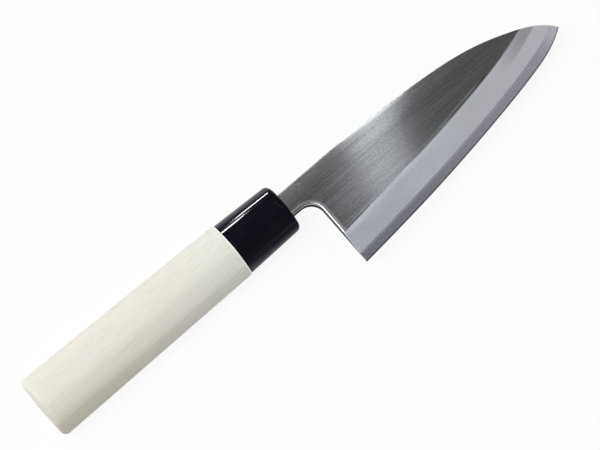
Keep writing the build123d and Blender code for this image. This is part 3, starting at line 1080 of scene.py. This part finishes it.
def made_by(tree, name, values):
    """The plain mesh that a Geometry Nodes tree makes from these named inputs."""
    holder = bpy.data.objects.new(name, bpy.data.meshes.new(name))
    bpy.context.scene.collection.objects.link(holder)
    modifier = holder.modifiers.new(tree.name, "NODES")
    modifier.node_group = tree
    for item in tree.interface.items_tree:
        if item.item_type == "SOCKET" and item.in_out == "INPUT" and item.name in values:
            modifier[item.identifier] = values[item.name]
    graph = bpy.context.evaluated_depsgraph_get()
    mesh = bpy.data.meshes.new_from_object(holder.evaluated_get(graph))
    holder.modifiers.clear()
    bpy.data.objects.remove(holder)
    if not mesh.polygons:
        raise RuntimeError(f"{tree.name} made nothing for {name}")
    return mesh


def d_shape(handle):
    """Inputs of the D outline, which the grip and the ferrule share."""
    return {name: getattr(handle, name.lower().replace(" ", "_")) for name in OUTLINE_INPUTS}


class AddHandleWood(bpy.types.Operator):
    """Adds the wooden grip with its domed butt"""

    bl_idname = "deba.add_handle_wood"
    bl_label = "Add Handle Wood"

    def execute(self, context):
        handle = context.scene.deba_handle
        finish = magnolia(handle)
        size = FERRULE[1] - FERRULE[0]
        mesh = made_by(grip_tree(), "wooden_grip", {
            **d_shape(handle),
            "Rear X": WOOD[0].x, "Front X": FERRULE[0].x,
            "Rear Height": handle.butt_height, "Rear Thickness": handle.butt_thickness,
            "Front Height": size.y + 2 * handle.wood_step,
            "Front Thickness": size.z + 2 * handle.wood_step,
            "Rear Rounding": handle.butt_round, "Front Rounding": handle.wood_edge,
            "Crown": handle.butt_crown, "Finish": finish,
        })
        add_piece("wooden_grip", mesh, [finish], "handle_wood", "handle_wood")
        return {"FINISHED"}


class AddFerrule(bpy.types.Operator):
    """Adds the black plastic ferrule with its slot for the neck"""

    bl_idname = "deba.add_ferrule"
    bl_label = "Add Ferrule"

    def execute(self, context):
        handle = context.scene.deba_handle
        blade = context.scene.deba_blade
        finish = black_plastic(handle)
        size = FERRULE[1] - FERRULE[0]
        mesh = made_by(grip_tree(), "ferrule_shell", {
            **d_shape(handle),
            "Rear X": FERRULE[0].x, "Front X": FERRULE[1].x,
            "Rear Height": size.y, "Rear Thickness": size.z,
            "Front Height": handle.front_height, "Front Thickness": handle.front_thickness,
            "Rear Rounding": handle.ferrule_edge, "Front Rounding": handle.ferrule_round,
            "Slot Height": blade.neck_height + 2 * handle.slot_fit, "Slot Y": -blade.neck_drop,
            "Slot Thickness": IRON[1].z - IRON[0].z + 2 * handle.slot_fit,
            "Slot Depth": handle.slot_depth, "Finish": finish,
        })
        add_piece("ferrule_shell", mesh, [finish], "black_plastic", "ferrule")
        return {"FINISHED"}


class FinishSeal(bpy.types.Operator):
    """Gives the resin round the neck its finish"""

    bl_idname = "deba.finish_seal"
    bl_label = "Finish Mouth Seal"

    def execute(self, context):
        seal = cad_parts["mouth_seal"]
        seal.data.materials.clear()
        seal.data.materials.append(seal_resin())
        return {"FINISHED"}


# ---------------------------------------------------------------------------------- studio


MIDDLE = (0, 0, 0)
PLAIN = (1.0, 1.0, 1.0)
COOL = (0.88, 0.94, 1.03)
PAPER_WHITE = 0.9  # share of the floor's look that is white whatever light falls on it
VIEW_TARGET = (-0.31 * MM, -9.8 * MM, 0)
FLOOR_HALF_SIZE = 4
FLOOR_GAP = 0.02 * MM  # the floor lies this far under the lowest point
# Rows are (name, place, target, width, height, power, colour, the kind of ray that misses the lamp).
# The fill and the rim don't show in the steel, and the two tubes only show as thin lines on the ferrule.
LAMPS = [
    ("key", (-0.60, 0.38, 1.42), MIDDLE, 1.2, 1.2, 20.2, PLAIN, None),
    ("side", (-1.16, 0.48, 0.98), MIDDLE, 0.7, 0.7, 2, PLAIN, None),
    ("fill", (1.08, -1.08, 0.49), MIDDLE, 1.0, 0.9, 6.2, PLAIN, "visible_glossy"),
    ("rim", (0.0, 1.52, 0.49), MIDDLE, 0.6, 0.6, 3.5, PLAIN, "visible_glossy"),
    ("front", (0.90, -0.15, 1.30), MIDDLE, 0.6, 0.6, 1.8, PLAIN, None),
    ("band", (0.303, 0.45, 1.2), (0.303, 0.45, 0), 0.057, 0.6, 0.138, COOL, None),
    ("band_side", (0.259, 0.45, 1.2), (0.259, 0.45, 0), 0.031, 0.6, 0.015, COOL, None),
    ("tube_front", (0.248, 1.2, 0.212), MIDDLE, 0.163, 0.1, 4.0, PLAIN, "visible_diffuse"),
    ("tube_rear", (0.171, 1.2, 0.522), MIDDLE, 0.038, 0.13, 1.3, PLAIN, "visible_diffuse"),
]


def aim(thing, place, target):
    thing.location = place
    thing.rotation_mode = "QUATERNION"
    thing.rotation_quaternion = (Vector(target) - Vector(place)).to_track_quat("-Z", "Y")


def area_lamp(name, place, target, width, height, power, tint, hidden):
    """A rectangular softbox, hidden from one kind of ray where that is named."""
    data = bpy.data.lights.new(name, "AREA")
    data.shape = "RECTANGLE"
    data.size, data.size_y = width, height
    data.energy = power
    data.color = tint
    lamp = bpy.data.objects.new(name, data)
    bpy.context.scene.collection.objects.link(lamp)
    aim(lamp, place, target)
    if hidden:
        setattr(lamp, hidden, False)


class AddStudio(bpy.types.Operator):
    """Adds the floor, the lamps, the world and the camera"""

    bl_idname = "deba.add_studio"
    bl_label = "Add Studio"

    def execute(self, context):
        scene = context.scene
        studio = scene.deba_studio
        self.add_camera(scene, studio)
        self.add_world(scene, studio)
        self.add_floor(scene, studio)
        for row in LAMPS:
            area_lamp(*row)
        scene.view_settings.view_transform = "Standard"
        return {"FINISHED"}

    def add_camera(self, scene, studio):
        data = bpy.data.cameras.new("camera")
        data.lens = studio.lens
        data.sensor_width = 36
        data.dof.use_dof = False
        data.clip_start, data.clip_end = 0.05, 20
        camera = bpy.data.objects.new("camera", data)
        scene.collection.objects.link(camera)
        level = cos(studio.elevation)
        back = Vector((sin(studio.azimuth) * level, -cos(studio.azimuth) * level, sin(studio.elevation)))
        aim(camera, Vector(VIEW_TARGET) + back * studio.distance, VIEW_TARGET)
        scene.camera = camera

    def add_world(self, scene, studio):
        world = bpy.data.worlds.new("studio")
        world.use_nodes = True
        scene.world = world
        w = NodeMaker(world.node_tree)
        across, _, height = w.split(w.add("ShaderNodeTexCoord").outputs["Generated"])
        # Brighter towards the horizon, and a little brighter again behind the butt.
        sky = w.fade(height, 0.1, 0.85, studio.horizon, studio.zenith)
        strength = w.plus(sky, w.fade(across, 0.05, 0.22, 0.035, 0.0))
        light = w.made("ShaderNodeBackground", {"Color": (0.95, 0.98, 1.06, 1.0), "Strength": strength})
        w.add("ShaderNodeOutputWorld", {"Surface": light})

    def add_floor(self, scene, studio):
        mesh = bpy.data.meshes.new("floor")
        bm = bmesh.new()
        bmesh.ops.create_grid(bm, x_segments=1, y_segments=1, size=FLOOR_HALF_SIZE)
        bmesh.ops.translate(bm, verts=bm.verts, vec=(0, 0, CAD_BOX[0].z - FLOOR_GAP))
        bm.to_mesh(mesh)
        bm.free()
        mesh.materials.append(white_paper(studio))
        floor = bpy.data.objects.new("floor", mesh)
        scene.collection.objects.link(floor)


# ---------------------------------------------------------------------------------- add-on


class DebaPanel(bpy.types.Panel):
    """Lists the sizes and the pieces"""

    bl_idname = "VIEW3D_PT_deba_knife"
    bl_label = "Deba Knife"
    bl_space_type = "VIEW_3D"
    bl_region_type = "UI"
    bl_category = "Deba Knife"

    def draw(self, context):
        scene = context.scene
        for settings in (scene.deba_blade, scene.deba_handle, scene.deba_studio):
            column = self.layout.column()
            for name in settings.__annotations__:
                column.prop(settings, name)
        for step in STEPS:
            self.layout.operator(step.bl_idname)


SETTINGS = {"deba_blade": BladeSettings, "deba_handle": HandleSettings, "deba_studio": StudioSettings}
STEPS = (AddBladeIron, AddEdgeSteel, AddHandleWood, AddFerrule, FinishSeal, AddStudio)


def register():
    for cls in (*SETTINGS.values(), *STEPS, DebaPanel):
        bpy.utils.register_class(cls)
    for name, cls in SETTINGS.items():
        setattr(bpy.types.Scene, name, PointerProperty(type=cls))


def unregister():
    for name in SETTINGS:
        delattr(bpy.types.Scene, name)
    for cls in reversed((*SETTINGS.values(), *STEPS, DebaPanel)):
        bpy.utils.unregister_class(cls)


def main():
    register()
    for step in STEPS:
        group, name = step.bl_idname.split(".")
        getattr(getattr(bpy.ops, group), name)()


if __name__ == "__main__":
    main()
